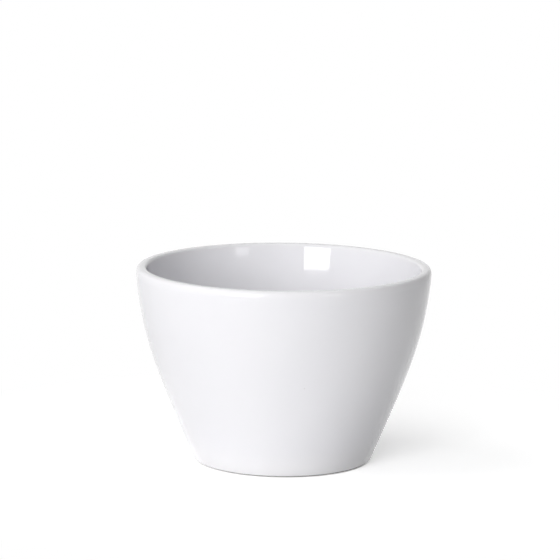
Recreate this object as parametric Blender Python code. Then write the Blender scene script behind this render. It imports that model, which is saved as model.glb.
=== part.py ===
"""Coffee cupping bowl: a white porcelain bowl, glazed inside and out, standing on a bare foot ring.

Metres, +Z up. The origin is on the bowl's axis, on the surface that it stands on. Each piece is a
profile in the plane of +X and +Z, turned about the Z axis. A profile is worked out as stations, each
a point on the finished surface and the direction that faces the air there, so that the glaze's back
and the clay under it follow the finished surface at their own depths.
"""

import math

import bmesh
import bpy
from mathutils import Vector

# The finished bowl, measured over the glaze
RIM_RADIUS = 0.0450
HEIGHT = 0.0596
FOOT_RADIUS = 0.0272
FLOOR_HEIGHT = 0.0060

# The outside wall, one sweep from the foot to the lip: how far it leans out from upright
# at each end, and how far it reaches in that direction
FOOT_LEAN = math.radians(22.5)
FOOT_REACH = 0.0280
RIM_LEAN = math.radians(5.3)
RIM_REACH = 0.0200

# The lip: a shoulder that turns the wall past upright, and a level crown between two round edges
LIP_SHOULDER_RADIUS = 0.0055
LIP_SHOULDER_TURN = math.radians(12)
LIP_OUTER_RADIUS = 0.0013
LIP_CROWN = 0.0008
LIP_INNER_RADIUS = 0.0011

# The wall, which thins towards the lip: there its inside leans out further than its outside
INSIDE_RIM_LEAN = math.radians(9.8)
FOOT_WALL = 0.0050
INSIDE_CORNER_RADIUS = 0.0180

# The bare foot ring, and the well that it stands round
FOOT_CORNER_RADIUS = 0.0005
FOOT_RING_WIDTH = 0.0044
RING_EDGE_RADIUS = 0.0006
WELL_DEPTH = 0.0018
WELL_CORNER_RADIUS = 0.0008

# The glaze, the gap that keeps it apart from the clay, and the band wiped bare above the foot's corner
GLAZE_THICKNESS = 0.0003
GLAZE_GAP = 0.0003
BARE_BAND = 0.0002

# How finely the shape is drawn
TURN_STEPS = 56
WALL_STEPS = 7
LIP_STEPS = 4
CORNER_STEPS = 4
EDGE_STEPS = 2
MERGE_DISTANCE = 1e-6
SHARP_ANGLE = math.radians(50)

UP = math.pi / 2
DOWN = -math.pi / 2


def direction(angle):
    """A unit step in the profile's plane, at an angle from +X towards +Z."""
    return Vector((math.cos(angle), math.sin(angle)))


# The centres of the lip's arcs, the wall's top end outside, and the wall's thickness there
CLAY_DEPTH = GLAZE_THICKNESS + GLAZE_GAP
SHOULDER_STEP = (LIP_SHOULDER_RADIUS - LIP_OUTER_RADIUS) * direction(LIP_SHOULDER_TURN)
OUTER_LIP = Vector((RIM_RADIUS - LIP_SHOULDER_RADIUS + SHOULDER_STEP.x, HEIGHT - LIP_OUTER_RADIUS))
INNER_LIP = Vector((OUTER_LIP.x - LIP_CROWN, HEIGHT - LIP_INNER_RADIUS))
SHOULDER = OUTER_LIP - SHOULDER_STEP
WALL_TOP = SHOULDER + LIP_SHOULDER_RADIUS * direction(-RIM_LEAN)
INSIDE_TURN = INSIDE_RIM_LEAN - RIM_LEAN
INSIDE_STEP = (WALL_TOP - INNER_LIP).dot(direction(-INSIDE_RIM_LEAN))
RIM_WALL = (LIP_INNER_RADIUS + INSIDE_STEP) / math.cos(INSIDE_TURN)
RIM_THINNING = 3 * RIM_REACH * math.tan(INSIDE_TURN)


def steps_between(start, end, count):
    return [start + (end - start) * step / count for step in range(count + 1)]


def arc(centre, radius, start, end, count, air_side=1):
    """Stations along an arc. The air is outside the arc at 1, and on the side of its centre at -1."""
    turns = [direction(angle) for angle in steps_between(start, end, count)]
    return [(centre + radius * turn, air_side * turn) for turn in turns]


def at_depth(stations, depth):
    """The points that lie a depth behind the finished surface."""
    return [point - depth * facing for point, facing in stations]


def outside_wall(t):
    """The station at t on the outside wall, a cubic sweep from 0 at the foot to 1 at the lip."""
    foot = Vector((FOOT_RADIUS, 0))
    from_foot = foot + FOOT_REACH * direction(UP - FOOT_LEAN)
    to_top = WALL_TOP - RIM_REACH * direction(UP - RIM_LEAN)
    s = 1 - t
    point = s**3 * foot + 3 * s**2 * t * from_foot + 3 * s * t**2 * to_top + t**3 * WALL_TOP
    run = s**2 * (from_foot - foot) + 2 * s * t * (to_top - from_foot) + t**2 * (WALL_TOP - to_top)
    run.normalize()
    return point, Vector((run.y, -run.x))


def wall_at(t):
    """The wall's thickness at t: even at the foot, and thinning into the lip."""
    return FOOT_WALL + (RIM_WALL - FOOT_WALL) * t**2 * (3 - 2 * t) + RIM_THINNING * t**2 * (1 - t)


def inside_wall(t):
    point, facing = outside_wall(t)
    return point - wall_at(t) * facing, -facing


def wall_t(height):
    """The t on the wall where a height that grows with t passes zero."""
    low, high = 0.0, 1.0
    for _ in range(50):
        middle = (low + high) / 2
        if height(middle) < 0:
            low = middle
        else:
            high = middle
    return low


def corner_on_wall(depth_at, radius, level):
    """A round corner between the wall, at a depth behind it, and a level: t, centre and first angle."""

    def centre(t):
        point, facing = outside_wall(t)
        return point - (depth_at(t) + radius) * facing

    t = wall_t(lambda at: centre(at).y - radius - level)
    facing = outside_wall(t)[1]
    return t, centre(t), math.atan2(facing.y, facing.x)


def foot_corner():
    """The rounded outer corner of the clay foot, on the surface that the bowl stands on."""
    return corner_on_wall(lambda t: CLAY_DEPTH, FOOT_CORNER_RADIUS, 0)


def glazed_stations():
    """The finished surface from the glaze line outside, over the lip, to the middle of the inside floor."""
    foot_t = foot_corner()[0]
    glaze_line = at_depth([outside_wall(foot_t)], CLAY_DEPTH)[0].y + BARE_BAND
    glaze_t = wall_t(lambda at: outside_wall(at)[0].y - glaze_line)
    corner_t, corner, corner_angle = corner_on_wall(wall_at, INSIDE_CORNER_RADIUS, FLOOR_HEIGHT)

    stations = [outside_wall(t) for t in steps_between(glaze_t, 1, WALL_STEPS)]
    stations += arc(SHOULDER, LIP_SHOULDER_RADIUS, -RIM_LEAN, LIP_SHOULDER_TURN, EDGE_STEPS)[1:]
    stations += arc(OUTER_LIP, LIP_OUTER_RADIUS, LIP_SHOULDER_TURN, UP, LIP_STEPS)[1:]
    stations += arc(INNER_LIP, LIP_INNER_RADIUS, UP, math.pi - INSIDE_RIM_LEAN, LIP_STEPS)
    stations += [inside_wall(t) for t in steps_between(1, corner_t, WALL_STEPS)]
    stations += arc(corner, INSIDE_CORNER_RADIUS, corner_angle, DOWN, CORNER_STEPS, -1)[1:]
    stations.append((Vector((0, FLOOR_HEIGHT)), direction(UP)))
    return stations


def well_radius():
    """The radius of the foot well's side, over its glaze."""
    foot_centre = foot_corner()[1]
    return foot_centre.x + FOOT_CORNER_RADIUS - FOOT_RING_WIDTH - CLAY_DEPTH


def well_stations():
    """The finished surface of the foot well, from its side to its middle."""
    corner = Vector((well_radius() - WELL_CORNER_RADIUS, WELL_DEPTH - WELL_CORNER_RADIUS))
    stations = arc(corner, WELL_CORNER_RADIUS, 0, UP, EDGE_STEPS, -1)
    stations.append((Vector((0, WELL_DEPTH)), direction(DOWN)))
    return stations


def foot_ring_points():
    """The bare clay from the outside wall, round the foot ring, to the side of the well."""
    _, foot_centre, foot_angle = foot_corner()
    edge = Vector((well_radius() + CLAY_DEPTH + RING_EDGE_RADIUS, RING_EDGE_RADIUS))
    outer_corner = arc(foot_centre, FOOT_CORNER_RADIUS, foot_angle, DOWN, EDGE_STEPS)
    inner_corner = arc(edge, RING_EDGE_RADIUS, DOWN, -math.pi, EDGE_STEPS)
    return at_depth(outer_corner + inner_corner, 0)


def body_points():
    """The clay, from the middle of the inside floor, over the lip and foot, to the middle of the well."""
    inside_and_out = at_depth(glazed_stations(), CLAY_DEPTH)[::-1]
    return inside_and_out + foot_ring_points() + at_depth(well_stations(), CLAY_DEPTH)


def glaze_points(stations):
    """A layer of glaze: its finished face from its middle to its edge, then its back to the middle."""
    return at_depth(stations, 0)[::-1] + at_depth(stations, GLAZE_THICKNESS)


def material(name, colour, roughness):
    made = bpy.data.materials.new(name)
    made.use_nodes = True
    shader = made.node_tree.nodes["Principled BSDF"]
    shader.inputs["Base Color"].default_value = (*colour, 1)
    shader.inputs["Roughness"].default_value = roughness
    shader.inputs["Metallic"].default_value = 0
    return made


def turned(name, points, finish):
    """A piece turned from a profile that starts and ends on the Z axis."""
    shape = bmesh.new()
    profile = [shape.verts.new((point.x, 0, point.y)) for point in points]
    edges = [shape.edges.new(pair) for pair in zip(profile, profile[1:])]
    bmesh.ops.spin(
        shape,
        geom=profile + edges,
        axis=(0, 0, 1),
        angle=2 * math.pi,
        steps=TURN_STEPS,
        use_merge=True,
    )
    bmesh.ops.remove_doubles(shape, verts=shape.verts, dist=MERGE_DISTANCE)
    bmesh.ops.recalc_face_normals(shape, faces=shape.faces)
    mesh = bpy.data.meshes.new(name)
    shape.to_mesh(mesh)
    shape.free()
    mesh.shade_smooth()
    mesh.set_sharp_from_angle(angle=SHARP_ANGLE)
    mesh.materials.append(finish)
    bpy.context.collection.objects.link(bpy.data.objects.new(name, mesh))


def main():
    for old in list(bpy.data.objects):
        bpy.data.objects.remove(old)
    bare_porcelain = material("bare_porcelain", (0.80, 0.78, 0.74), 0.70)
    white_glaze = material("white_glaze", (0.84, 0.84, 0.86), 0.12)
    well_glaze = material("well_glaze", (0.82, 0.82, 0.84), 0.16)
    turned("porcelain_body", body_points(), bare_porcelain)
    turned("glaze_coat", glaze_points(glazed_stations()), white_glaze)
    turned("foot_well_glaze", glaze_points(well_stations()), well_glaze)


main()
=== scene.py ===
"""Coffee cupping bowl, dressed: white glazed porcelain on a bare foot ring, in soft studio light.

Metres, +Z up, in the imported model's frame: the bowl's axis is Z, and it stands at z = 0. The three pieces
are turned about Z from profiles in the plane of +X and +Z. A profile is a run of stations, each a point on
the finished surface and the direction that faces the air there, so that the back of the glaze and the clay
under it lie at their own depths behind the surface that shows.
"""

import math

import bmesh
import bpy
from mathutils import Matrix, Vector


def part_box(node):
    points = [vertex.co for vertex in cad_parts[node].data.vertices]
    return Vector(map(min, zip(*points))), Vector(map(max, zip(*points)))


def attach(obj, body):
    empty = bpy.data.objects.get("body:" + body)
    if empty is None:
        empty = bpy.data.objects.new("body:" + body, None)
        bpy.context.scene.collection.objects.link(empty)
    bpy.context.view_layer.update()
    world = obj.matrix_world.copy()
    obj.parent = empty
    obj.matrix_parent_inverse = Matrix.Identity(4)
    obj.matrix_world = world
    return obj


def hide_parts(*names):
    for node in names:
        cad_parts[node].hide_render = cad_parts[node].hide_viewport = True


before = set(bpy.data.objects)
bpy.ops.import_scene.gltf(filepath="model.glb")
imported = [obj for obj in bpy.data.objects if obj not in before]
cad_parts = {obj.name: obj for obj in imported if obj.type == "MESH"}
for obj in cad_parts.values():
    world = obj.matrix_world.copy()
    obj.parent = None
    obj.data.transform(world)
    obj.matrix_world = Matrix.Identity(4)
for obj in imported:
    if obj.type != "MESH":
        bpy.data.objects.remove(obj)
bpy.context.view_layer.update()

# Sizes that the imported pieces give
COAT_LOW, COAT_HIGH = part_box("glaze_coat")
WELL_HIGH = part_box("foot_well_glaze")[1]
GLAZE_THICKNESS = 0.0003
RIM_RADIUS = COAT_HIGH.x
HEIGHT = COAT_HIGH.z
GLAZE_LINE = COAT_LOW.z
WELL_RADIUS = WELL_HIGH.x - GLAZE_THICKNESS
WELL_DEPTH = WELL_HIGH.z - GLAZE_THICKNESS

# The outside wall, one sweep from the foot to the lip: its lean from upright and its reach at each end
FOOT_RADIUS = 0.0272
FOOT_LEAN = math.radians(22.5)
FOOT_REACH = 0.0280
RIM_LEAN = math.radians(5.3)
RIM_REACH = 0.0200

# The lip: a shoulder that turns the wall past upright, and a level crown between two round edges
LIP_SHOULDER_RADIUS = 0.0055
LIP_SHOULDER_TURN = math.radians(12)
LIP_OUTER_RADIUS = 0.0013
LIP_CROWN = 0.0008
LIP_INNER_RADIUS = 0.0011

# The wall, which thins towards the lip: there its inside leans out further than its outside
INSIDE_RIM_LEAN = math.radians(9.8)
FOOT_WALL = 0.0050
FLOOR_HEIGHT = 0.0060
INSIDE_CORNER_RADIUS = 0.0180

# The bare foot ring, and the bite that the fused clay takes of the back of the glaze
FOOT_CORNER_RADIUS = 0.0012
RING_EDGE_RADIUS = 0.0006
WELL_CORNER_RADIUS = 0.0008
GLAZE_BITE = 0.00002

# How finely the pieces are turned, and how often a search along the wall halves its range
TURN_STEPS = 192
WALL_STEPS = 36
LIP_STEPS = 14
CORNER_STEPS = 18
EDGE_STEPS = 6
MERGE_DISTANCE = 1e-7
SHARP_ANGLE = math.radians(60)
WALL_HALVINGS = 50

UP = math.pi / 2
DOWN = -math.pi / 2

# The photograph's frame and its view of the bowl
FRAME_PIXELS = 560
BOWL_MIDDLE_PIXEL = (282.9, 361.8)
CAMERA_DISTANCE = 0.900
CAMERA_ELEVATION = math.radians(11.66)
CAMERA_ROLL = math.radians(0.55)
LENS_MM = 188.85
SENSOR_MM = 36

# The studio: white paper under the bowl, which fades to plain white, and the light from all round
FLOOR_HALF_WIDTH = 4.0
FLOOR_DROP = 0.00005
FLOOR_WHITE = 0.90
FLOOR_SEEN = 1.00
FLOOR_GLOW = 0.510
FLOOR_FADE_START = 0.055
FLOOR_FADE_END = 0.130
AMBIENT_LIGHT = 0.022
WHITE = (1, 1, 1, 1)

# The shade where the foot meets the paper: a disc a little to the right of the axis
CONTACT_START = 0.0256
CONTACT_END = 0.0264
CONTACT_SHIFT = (0.0008, 0, 0)

# The glaze: where it thins over the lip and gathers above the foot, and its relief in millimetres
GLAZE_IOR = 1.5
LIP_THINNING = 0.0026
GATHERING_TOP = 0.0110
GATHERING_FOOT = 0.0008
RIPPLE_MM = 0.006
GLAZED_MARKS_MM = 0.0007
PINHOLE_MM = 0.010
SPECK_SHARE = 0.4

# The clay: the heights of the painted shade that darkens its foot edge and of the band rubbed where it
# stands, and its relief in millimetres
FOOT_SHADE_FROM = 0.0009
FOOT_SHADE_BY = 0.0002
FOOT_SHADE_SHARE = 0.85
RUBBED_FROM = 0.00016
RUBBED_BY = 0.00004
RUBBED_SHARE = 0.6
GRAINED_SHARE = 0.35
GRAIN_MM = 0.018
BARE_MARKS_MM = 0.004
MILLIMETRE = 0.001

# A fired speck: its brown, and its edge and core as shares of the cell that it lies in
SPECK = (0.36, 0.30, 0.25)
SPECK_EDGE = 0.060
SPECK_CORE = 0.025

# The colours of the finishes, and the roughness of the glazes
CLAY_LOOK = {
    "pale": (0.80, 0.785, 0.76),
    "toned": (0.74, 0.725, 0.70),
    # The dark colour of the painted shade along the foot's edge, where it meets the floor
    "shade_grey": (0.42, 0.42, 0.42),
    "rubbed": (0.56, 0.555, 0.55),
}
COAT_LOOK = {
    "white": (0.850, 0.845, 0.872),
    "clouded": (0.836, 0.832, 0.862),
    "thin": (0.854, 0.847, 0.868),
    "gathered": (0.860, 0.854, 0.872),
    "smooth": 0.045,
    "dull": 0.075,
}
WELL_LOOK = {
    "white": (0.830, 0.828, 0.850),
    "clouded": (0.812, 0.810, 0.836),
    "thin": (0.840, 0.832, 0.840),
    "gathered": (0.806, 0.808, 0.836),
    "smooth": 0.09,
    "dull": 0.16,
}

# The colour sockets of a Mix node, by place, because its other kinds use the same names
MIX_SHARE = 0
MIX_FIRST = 6
MIX_SECOND = 7
MIX_RESULT = 2


def heading(angle):
    """A unit step in the profile's plane, at an angle from +X towards +Z."""
    return Vector((math.cos(angle), math.sin(angle)))


# The centres of the lip's arcs, the wall's top end outside, and the wall's thickness there
CLAY_DEPTH = GLAZE_THICKNESS - GLAZE_BITE
SHOULDER_STEP = (LIP_SHOULDER_RADIUS - LIP_OUTER_RADIUS) * heading(LIP_SHOULDER_TURN)
OUTER_LIP = Vector((RIM_RADIUS - LIP_SHOULDER_RADIUS + SHOULDER_STEP.x, HEIGHT - LIP_OUTER_RADIUS))
INNER_LIP = Vector((OUTER_LIP.x - LIP_CROWN, HEIGHT - LIP_INNER_RADIUS))
SHOULDER = OUTER_LIP - SHOULDER_STEP
WALL_TOP = SHOULDER + LIP_SHOULDER_RADIUS * heading(-RIM_LEAN)
INSIDE_TURN = INSIDE_RIM_LEAN - RIM_LEAN
INSIDE_STEP = (WALL_TOP - INNER_LIP).dot(heading(-INSIDE_RIM_LEAN))
RIM_WALL = (LIP_INNER_RADIUS + INSIDE_STEP) / math.cos(INSIDE_TURN)
RIM_THINNING = 3 * RIM_REACH * math.tan(INSIDE_TURN)


def spread(start, end, count):
    return [start + (end - start) * step / count for step in range(count + 1)]


def closing(start, end, count):
    """Steps that grow finer towards the end."""
    return [end - (end - start) * (1 - step / count) ** 2 for step in range(count + 1)]


def arc(centre, radius, start, end, count, air_side=1):
    """Stations along an arc. The air is outside the arc at 1, and on the side of its centre at -1."""
    turns = [heading(angle) for angle in spread(start, end, count)]
    return [(centre + radius * turn, air_side * turn) for turn in turns]


def straight_run(first, last, count):
    """The stations between two others on a straight run, finer towards the first."""
    shares = closing(1, 0, count)[-2:0:-1]
    return [(first[0].lerp(last[0], share), first[1].lerp(last[1], share)) for share in shares]


def at_depth(stations, depth):
    """The points that lie a depth behind the finished surface."""
    return [point - depth * facing for point, facing in stations]


def outside_wall(t):
    """The station at t on the outside wall, a cubic sweep from 0 at the foot to 1 at the lip."""
    foot = Vector((FOOT_RADIUS, 0))
    from_foot = foot + FOOT_REACH * heading(UP - FOOT_LEAN)
    to_top = WALL_TOP - RIM_REACH * heading(UP - RIM_LEAN)
    s = 1 - t
    point = s**3 * foot + 3 * s**2 * t * from_foot + 3 * s * t**2 * to_top + t**3 * WALL_TOP
    run = s**2 * (from_foot - foot) + 2 * s * t * (to_top - from_foot) + t**2 * (WALL_TOP - to_top)
    run.normalize()
    return point, Vector((run.y, -run.x))


def wall_at(t):
    """The wall's thickness at t: even at the foot, and thinning into the lip."""
    return FOOT_WALL + (RIM_WALL - FOOT_WALL) * t**2 * (3 - 2 * t) + RIM_THINNING * t**2 * (1 - t)


def inside_wall(t):
    point, facing = outside_wall(t)
    return point - wall_at(t) * facing, -facing


def wall_t(height):
    """The t on the wall where a height that grows with t passes zero."""
    low, high = 0.0, 1.0
    for _ in range(WALL_HALVINGS):
        middle = (low + high) / 2
        if height(middle) < 0:
            low = middle
        else:
            high = middle
    return low


def corner_on_wall(depth_at, radius, level):
    """A round corner between the wall, at a depth behind it, and a level: t, centre and first angle."""

    def centre(t):
        point, facing = outside_wall(t)
        return point - (depth_at(t) + radius) * facing

    t = wall_t(lambda at: centre(at).y - radius - level)
    facing = outside_wall(t)[1]
    return t, centre(t), math.atan2(facing.y, facing.x)


def coat_stations():
    """The glazed surface from the glaze line outside, over the lip, to the middle of the inside floor."""
    glaze_t = wall_t(lambda at: outside_wall(at)[0].y - GLAZE_LINE - GLAZE_THICKNESS / 2)
    corner_t, corner, corner_angle = corner_on_wall(wall_at, INSIDE_CORNER_RADIUS, FLOOR_HEIGHT)
    stations = [outside_wall(t) for t in closing(glaze_t, 1, WALL_STEPS)]
    stations += arc(SHOULDER, LIP_SHOULDER_RADIUS, -RIM_LEAN, LIP_SHOULDER_TURN, LIP_STEPS)[1:]
    stations += arc(OUTER_LIP, LIP_OUTER_RADIUS, LIP_SHOULDER_TURN, UP, LIP_STEPS)[1:]
    stations += arc(INNER_LIP, LIP_INNER_RADIUS, UP, math.pi - INSIDE_RIM_LEAN, LIP_STEPS)
    stations += straight_run(stations[-1], inside_wall(1), EDGE_STEPS)
    stations += [inside_wall(t) for t in closing(corner_t, 1, WALL_STEPS)][::-1]
    stations += arc(corner, INSIDE_CORNER_RADIUS, corner_angle, DOWN, CORNER_STEPS, -1)[1:]
    stations.append((Vector((0, FLOOR_HEIGHT)), heading(UP)))
    return stations


def well_stations():
    """The glazed surface of the foot well, from its side to its middle."""
    corner = Vector((WELL_RADIUS - WELL_CORNER_RADIUS, WELL_DEPTH - WELL_CORNER_RADIUS))
    stations = arc(corner, WELL_CORNER_RADIUS, 0, UP, EDGE_STEPS, -1)
    stations.append((Vector((0, WELL_DEPTH)), heading(DOWN)))
    return stations


def ring_points():
    """The bare clay from the outside wall, round the foot ring, to the side of the well."""
    _, foot_centre, foot_angle = corner_on_wall(lambda t: CLAY_DEPTH, FOOT_CORNER_RADIUS, 0)
    edge = Vector((WELL_RADIUS + CLAY_DEPTH + RING_EDGE_RADIUS, RING_EDGE_RADIUS))
    outer_corner = arc(foot_centre, FOOT_CORNER_RADIUS, foot_angle, DOWN, EDGE_STEPS)
    inner_corner = arc(edge, RING_EDGE_RADIUS, DOWN, -math.pi, EDGE_STEPS)
    return at_depth(outer_corner + inner_corner, 0)


def clay_outline():
    """The clay, from the middle of the inside floor, over the lip and the foot, to the middle of the well."""
    inside_and_out = at_depth(coat_stations(), CLAY_DEPTH)[::-1]
    return inside_and_out + ring_points() + at_depth(well_stations(), CLAY_DEPTH)


def glaze_outline(stations):
    """A layer of glaze: its face from the middle to the edge, its rolled edge, and its back to the middle."""
    edge_point, facing = stations[0]
    roll_radius = GLAZE_THICKNESS / 2
    roll_angle = math.atan2(facing.y, facing.x)
    edge_run = stations[1][0] - edge_point
    turn = -math.pi if facing.cross(edge_run) > 0 else math.pi
    roll = arc(edge_point - roll_radius * facing, roll_radius, roll_angle, roll_angle + turn, EDGE_STEPS)
    return at_depth(stations, 0)[::-1] + at_depth(roll[1:-1], 0) + at_depth(stations, GLAZE_THICKNESS)


def turned(name, outline, finish):
    """A piece turned from an outline that starts and ends on the Z axis."""
    shape = bmesh.new()
    profile = [shape.verts.new((point.x, 0, point.y)) for point in outline]
    edges = [shape.edges.new(pair) for pair in zip(profile, profile[1:])]
    bmesh.ops.spin(
        shape,
        geom=profile + edges,
        axis=(0, 0, 1),
        angle=2 * math.pi,
        steps=TURN_STEPS,
        use_merge=True,
    )
    bmesh.ops.remove_doubles(shape, verts=shape.verts, dist=MERGE_DISTANCE)
    bmesh.ops.recalc_face_normals(shape, faces=shape.faces)
    mesh = bpy.data.meshes.new(name)
    shape.to_mesh(mesh)
    shape.free()
    mesh.shade_smooth()
    mesh.set_sharp_from_angle(angle=SHARP_ANGLE)
    mesh.materials.append(finish)
    piece = bpy.data.objects.new(name, mesh)
    bpy.context.collection.objects.link(piece)
    return piece


def fill(tree, socket, value):
    """Link a socket to another one, or set it to a plain value."""
    if isinstance(value, bpy.types.NodeSocket):
        tree.links.new(value, socket)
    else:
        socket.default_value = value


def place(tree):
    """The place on a piece, in metres from its origin."""
    return tree.nodes.new("ShaderNodeTexCoord").outputs["Object"]


def place_parts(tree):
    parts = tree.nodes.new("ShaderNodeSeparateXYZ")
    tree.links.new(place(tree), parts.inputs["Vector"])
    return parts.outputs["X"], parts.outputs["Y"], parts.outputs["Z"]


def worked_out(tree, operation, *values):
    step = tree.nodes.new("ShaderNodeMath")
    step.operation = operation
    for socket, value in zip(step.inputs, values):
        fill(tree, socket, value)
    return step.outputs["Value"]


def ease(tree, value, start, end, low=0.0, high=1.0):
    """A smooth step from low, where the value is at start, to high, where it is at end."""
    step = tree.nodes.new("ShaderNodeMapRange")
    step.interpolation_type = "SMOOTHSTEP"
    for label, amount in (
        ("Value", value),
        ("From Min", start),
        ("From Max", end),
        ("To Min", low),
        ("To Max", high),
    ):
        fill(tree, step.inputs[label], amount)
    return step.outputs["Result"]


def noise(tree, scale, detail=2.0):
    cloud = tree.nodes.new("ShaderNodeTexNoise")
    tree.links.new(place(tree), cloud.inputs["Vector"])
    fill(tree, cloud.inputs["Scale"], scale)
    cloud.inputs["Detail"].default_value = detail
    return cloud.outputs["Fac"]


def blend(tree, share, first, second):
    """The first colour, passing into the second as the share goes from 0 to 1."""
    mix = tree.nodes.new("ShaderNodeMix")
    mix.data_type = "RGBA"
    fill(tree, mix.inputs[MIX_SHARE], share)
    for socket, colour in ((mix.inputs[MIX_FIRST], first), (mix.inputs[MIX_SECOND], second)):
        fill(tree, socket, colour if isinstance(colour, bpy.types.NodeSocket) else (*colour, 1))
    return mix.outputs[MIX_RESULT]


def effect(name, inputs, output, recipe):
    """An effect that the finishes share: a node group that puts out one value, changing over the surface."""
    group = bpy.data.node_groups.new(name, "ShaderNodeTree")
    for label in inputs:
        group.interface.new_socket(label, in_out="INPUT", socket_type="NodeSocketFloat")
    group.interface.new_socket(output, in_out="OUTPUT", socket_type="NodeSocketFloat")
    given = group.nodes.new("NodeGroupInput").outputs
    put_out = group.nodes.new("NodeGroupOutput").inputs[output]
    group.links.new(recipe(group, given), put_out)
    return group


def placed(tree, group, **values):
    """An effect placed in a finish, with the finish's own values."""
    node = tree.nodes.new("ShaderNodeGroup")
    node.node_tree = group
    for label, value in values.items():
        node.inputs[label].default_value = value
    return node.outputs[0]


def kiln_tone(tree, given):
    """Soft clouds of tone, from 0 to 1, left by the kiln's uneven heat."""
    return ease(tree, noise(tree, given["Scale"]), start=0.32, end=0.68)


def turning_marks(tree, given):
    """Fine rings round the axis, from -1 to 1, left where the clay was turned."""
    x, y, z = place_parts(tree)
    x_squared = worked_out(tree, "MULTIPLY", x, x)
    y_squared = worked_out(tree, "MULTIPLY", y, y)
    from_axis = worked_out(tree, "SQRT", worked_out(tree, "ADD", x_squared, y_squared))
    travel = worked_out(tree, "ADD", from_axis, z)
    travel = worked_out(tree, "MULTIPLY_ADD", noise(tree, scale=55.0), given["Wander"], travel)
    turns = worked_out(tree, "DIVIDE", travel, given["Spacing"])
    return worked_out(tree, "SINE", worked_out(tree, "MULTIPLY", turns, 2 * math.pi))


def fired_specks(tree, given):
    """Fine dots, each in the middle of one cell of a honeycomb: the share of cells left empty is given."""
    cells = tree.nodes.new("ShaderNodeTexVoronoi")
    tree.links.new(place(tree), cells.inputs["Vector"])
    fill(tree, cells.inputs["Scale"], given["Scale"])
    draw = tree.nodes.new("ShaderNodeSeparateColor")
    tree.links.new(cells.outputs["Color"], draw.inputs["Color"])
    chosen = worked_out(tree, "GREATER_THAN", draw.outputs["Red"], given["Empty"])
    dot = ease(tree, cells.outputs["Distance"], SPECK_EDGE, SPECK_CORE)
    return worked_out(tree, "MULTIPLY", dot, chosen)


KILN_TONE = effect("kiln tone", ["Scale"], "Tone", kiln_tone)
TURNING_MARKS = effect("turning marks", ["Spacing", "Wander"], "Height", turning_marks)
FIRED_SPECKS = effect("fired specks", ["Scale", "Empty"], "Mask", fired_specks)


def new_finish(name):
    made = bpy.data.materials.new(name)
    made.use_nodes = True
    return made, made.node_tree, made.node_tree.nodes["Principled BSDF"]


def dress(tree, shader, colour, roughness, relief_mm):
    tree.links.new(colour, shader.inputs["Base Color"])
    tree.links.new(roughness, shader.inputs["Roughness"])
    bump = tree.nodes.new("ShaderNodeBump")
    bump.inputs["Distance"].default_value = MILLIMETRE
    tree.links.new(relief_mm, bump.inputs["Height"])
    tree.links.new(bump.outputs["Normal"], shader.inputs["Normal"])


def glaze_finish(name, white, clouded, thin, gathered, smooth, dull):
    """Fired glaze: thin over the lip, gathered low down, faintly rippled, with a rare pinhole or speck."""
    made, tree, shader = new_finish(name)
    shader.inputs["IOR"].default_value = GLAZE_IOR
    z = place_parts(tree)[2]
    specks = placed(tree, FIRED_SPECKS, Scale=310.0, Empty=0.975)
    colour = blend(tree, placed(tree, KILN_TONE, Scale=26.0), white, clouded)
    colour = blend(tree, ease(tree, z, HEIGHT - LIP_THINNING, HEIGHT), colour, thin)
    colour = blend(tree, ease(tree, z, GATHERING_TOP, GATHERING_FOOT), colour, gathered)
    colour = blend(tree, worked_out(tree, "MULTIPLY", specks, SPECK_SHARE), colour, SPECK)
    dull_clouds = noise(tree, scale=85.0, detail=3.0)
    roughness = ease(tree, dull_clouds, start=0.35, end=0.65, low=smooth, high=dull)
    marks = placed(tree, TURNING_MARKS, Spacing=0.0026, Wander=0.0012)
    relief = worked_out(tree, "MULTIPLY", noise(tree, scale=165.0, detail=1.0), RIPPLE_MM)
    relief = worked_out(tree, "MULTIPLY_ADD", marks, GLAZED_MARKS_MM, relief)
    relief = worked_out(tree, "MULTIPLY_ADD", specks, -PINHOLE_MM, relief)
    dress(tree, shader, colour, roughness, relief)
    return made


def clay_finish(name, pale, toned, shade_grey, rubbed):
    """Bare fired clay: matt and finely grained, darkened by painted shade along its foot edge, and rubbed
    where it stands.
    """
    made, tree, shader = new_finish(name)
    z = place_parts(tree)[2]
    # Painted shade: the bare clay turns dark towards its lowest edge, standing in for the shade where the
    # foot meets the floor
    painted_foot_shade = ease(tree, z, FOOT_SHADE_FROM, FOOT_SHADE_BY, high=FOOT_SHADE_SHARE)
    standing = ease(tree, z, RUBBED_FROM, RUBBED_BY)
    grained = ease(tree, noise(tree, scale=420.0, detail=4.0), start=0.42, end=0.62, high=GRAINED_SHARE)
    colour = blend(tree, placed(tree, KILN_TONE, Scale=70.0), pale, toned)
    colour = blend(tree, grained, colour, toned)
    colour = blend(tree, painted_foot_shade, colour, shade_grey)
    colour = blend(tree, worked_out(tree, "MULTIPLY", standing, RUBBED_SHARE), colour, rubbed)
    colour = blend(tree, placed(tree, FIRED_SPECKS, Scale=520.0, Empty=0.93), colour, SPECK)
    roughness = ease(tree, standing, start=0.0, end=1.0, low=0.80, high=0.58)
    marks = placed(tree, TURNING_MARKS, Spacing=0.0008, Wander=0.0004)
    relief = worked_out(tree, "MULTIPLY", noise(tree, scale=5200.0, detail=3.0), GRAIN_MM)
    relief = worked_out(tree, "MULTIPLY_ADD", marks, BARE_MARKS_MM, relief)
    dress(tree, shader, colour, roughness, relief)
    return made


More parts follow.
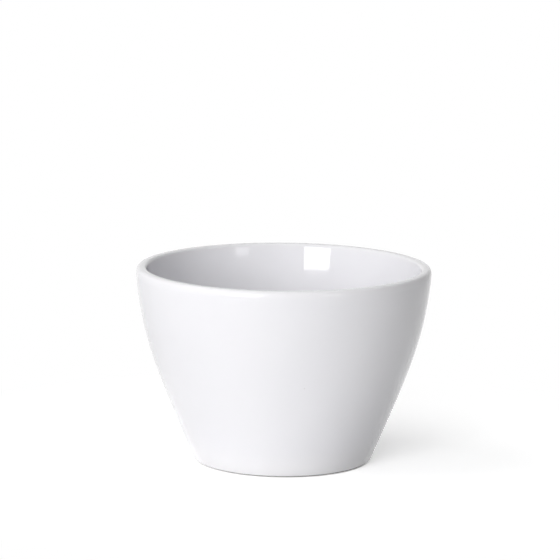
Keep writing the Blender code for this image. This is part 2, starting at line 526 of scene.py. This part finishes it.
def make_bowl():
    bare_porcelain = clay_finish("bare porcelain", **CLAY_LOOK)
    white_glaze = glaze_finish("white glaze", **COAT_LOOK)
    well_glaze = glaze_finish("well glaze", **WELL_LOOK)
    clay = turned("porcelain_clay", clay_outline(), bare_porcelain)
    coat = turned("white_coat", glaze_outline(coat_stations()), white_glaze)
    well = turned("well_coat", glaze_outline(well_stations()), well_glaze)
    for piece, node, slot in (
        (clay, "porcelain_body", "bare_porcelain"),
        (coat, "glaze_coat", "white_glaze"),
        (well, "foot_well_glaze", "well_glaze"),
    ):
        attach(piece, "root")
        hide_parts(node)


def make_camera():
    """The photograph's view, turned so that the bowl's middle lands on its own pixel of the frame."""
    middle = Vector((0, 0, HEIGHT / 2))
    back = Vector((0, -math.cos(CAMERA_ELEVATION), math.sin(CAMERA_ELEVATION)))
    focal_pixels = LENS_MM / SENSOR_MM * FRAME_PIXELS
    pan = math.atan((BOWL_MIDDLE_PIXEL[0] - FRAME_PIXELS / 2) / focal_pixels)
    tilt = math.atan((BOWL_MIDDLE_PIXEL[1] - FRAME_PIXELS / 2) / focal_pixels * math.cos(pan))
    aim = back.to_track_quat("Z", "Y").to_matrix()
    aim = aim @ Matrix.Rotation(CAMERA_ROLL, 3, "Z")
    aim = aim @ Matrix.Rotation(tilt, 3, "X")
    aim = aim @ Matrix.Rotation(pan, 3, "Y")
    lens = bpy.data.cameras.new("camera")
    lens.lens = LENS_MM
    lens.sensor_width = SENSOR_MM
    camera = bpy.data.objects.new("camera", lens)
    camera.matrix_world = Matrix.Translation(middle + CAMERA_DISTANCE * back) @ aim.to_4x4()
    bpy.context.collection.objects.link(camera)
    bpy.context.scene.camera = camera


def make_floor():
    shape = bmesh.new()
    bmesh.ops.create_grid(shape, x_segments=1, y_segments=1, size=FLOOR_HALF_WIDTH)
    mesh = bpy.data.meshes.new("floor")
    shape.to_mesh(mesh)
    shape.free()
    floor = bpy.data.objects.new("floor", mesh)
    floor.location = (0, 0, -FLOOR_DROP)
    mesh.materials.append(floor_finish())
    bpy.context.collection.objects.link(floor)


def seen_rays(tree):
    """1 for the rays that show a surface: straight to the camera, or by way of a reflection or glass."""
    path = tree.nodes.new("ShaderNodeLightPath")
    seen = path.outputs["Is Camera Ray"]
    for kind in ("Is Glossy Ray", "Is Transmission Ray"):
        seen = worked_out(tree, "MAXIMUM", seen, path.outputs[kind])
    return seen


def mixed(tree, share, first, second):
    mix = tree.nodes.new("ShaderNodeMixShader")
    tree.links.new(share, mix.inputs["Fac"])
    tree.links.new(first, mix.inputs[1])
    tree.links.new(second, mix.inputs[2])
    return mix.outputs["Shader"]


def diffuse(tree, brightness):
    paper = tree.nodes.new("ShaderNodeBsdfDiffuse")
    paper.inputs["Color"].default_value = (brightness, brightness, brightness, 1)
    return paper.outputs["BSDF"]


def glow(tree, strength):
    light = tree.nodes.new("ShaderNodeEmission")
    fill(tree, light.inputs["Strength"], strength)
    return light.outputs["Emission"]


def reach_from(tree, point):
    """How far a place lies from a point."""
    reach = tree.nodes.new("ShaderNodeVectorMath")
    reach.operation = "DISTANCE"
    tree.links.new(place(tree), reach.inputs[0])
    reach.inputs[1].default_value = point
    return reach.outputs["Value"]


def floor_finish():
    """White paper: shadowed near by, and plain white far off. Its glow only shows, and lights nothing."""
    made = bpy.data.materials.new("studio floor")
    made.use_nodes = True
    tree = made.node_tree
    tree.nodes.remove(tree.nodes["Principled BSDF"])
    far = ease(tree, reach_from(tree, (0, 0, 0)), FLOOR_FADE_START, FLOOR_FADE_END)
    near_by = tree.nodes.new("ShaderNodeAddShader")
    from_contact = reach_from(tree, CONTACT_SHIFT)
    clear_of_foot = ease(tree, from_contact, CONTACT_START, CONTACT_END, high=FLOOR_GLOW)
    tree.links.new(diffuse(tree, FLOOR_SEEN), near_by.inputs[0])
    tree.links.new(glow(tree, clear_of_foot), near_by.inputs[1])
    shown = mixed(tree, far, near_by.outputs["Shader"], glow(tree, strength=1))
    paper = mixed(tree, seen_rays(tree), diffuse(tree, FLOOR_WHITE), shown)
    tree.links.new(paper, tree.nodes["Material Output"].inputs["Surface"])
    return made


def make_world():
    """Plain white all round for the rays that show it, and a dimmer white as light on the bowl."""
    world = bpy.data.worlds.new("studio")
    world.use_nodes = True
    tree = world.node_tree
    ambient = tree.nodes["Background"]
    ambient.inputs["Color"].default_value = WHITE
    ambient.inputs["Strength"].default_value = AMBIENT_LIGHT
    white = tree.nodes.new("ShaderNodeBackground")
    white.inputs["Color"].default_value = WHITE
    shown = mixed(tree, seen_rays(tree), ambient.outputs["Background"], white.outputs["Background"])
    tree.links.new(shown, tree.nodes["World Output"].inputs["Surface"])
    bpy.context.scene.world = world


def stand_off(thing, azimuth, elevation, distance, tilt=0):
    """Stand a thing off the bowl, facing it. Azimuth 0 is the camera's side, and grows to the right."""
    turn = math.radians(azimuth)
    rise = math.radians(elevation)
    towards = Vector((math.sin(turn) * math.cos(rise), -math.cos(turn) * math.cos(rise), math.sin(rise)))
    facing = towards.to_track_quat("Z", "Y").to_matrix() @ Matrix.Rotation(math.radians(tilt), 3, "Z")
    thing.location = Vector((0, 0, HEIGHT)) + distance * towards
    thing.rotation_euler = facing.to_euler()
    bpy.context.collection.objects.link(thing)


def softbox(name, width, height, strength, mirrored=True):
    """A lamp that shows only as its light and, if mirrored, as its reflection in the glaze."""
    lamp = bpy.data.lights.new(name, "AREA")
    lamp.shape = "RECTANGLE"
    lamp.size = width
    lamp.size_y = height
    lamp.energy = strength * width * height * math.pi
    box = bpy.data.objects.new(name, lamp)
    box.visible_camera = False
    box.visible_glossy = mirrored
    return box


def make_lamps():
    left_softbox = softbox("left_softbox", width=0.40, height=0.20, strength=10.3)
    right_card = softbox("right_card", width=0.22, height=0.10, strength=3.6)
    left_lamp = softbox("left_lamp", width=0.90, height=0.57, strength=2.50, mirrored=False)
    front_fill = softbox("front_fill", width=1.0, height=1.0, strength=3.46, mirrored=False)
    overhead = softbox("overhead", width=1.0, height=1.0, strength=0.88, mirrored=False)
    back_fill = softbox("back_fill", width=0.60, height=0.10, strength=22.0, mirrored=False)
    stand_off(left_softbox, azimuth=-29.6, elevation=7.5, distance=1.0, tilt=3.8)
    stand_off(right_card, azimuth=37.2, elevation=7.4, distance=1.0)
    stand_off(left_lamp, azimuth=-90, elevation=50, distance=1.0)
    stand_off(front_fill, azimuth=-15, elevation=25, distance=1.5)
    stand_off(overhead, azimuth=0, elevation=88, distance=1.2)
    stand_off(back_fill, azimuth=188, elevation=2.5, distance=1.5)


make_bowl()
make_camera()
make_floor()
make_world()
make_lamps()
bpy.context.scene.view_settings.view_transform = "Standard"
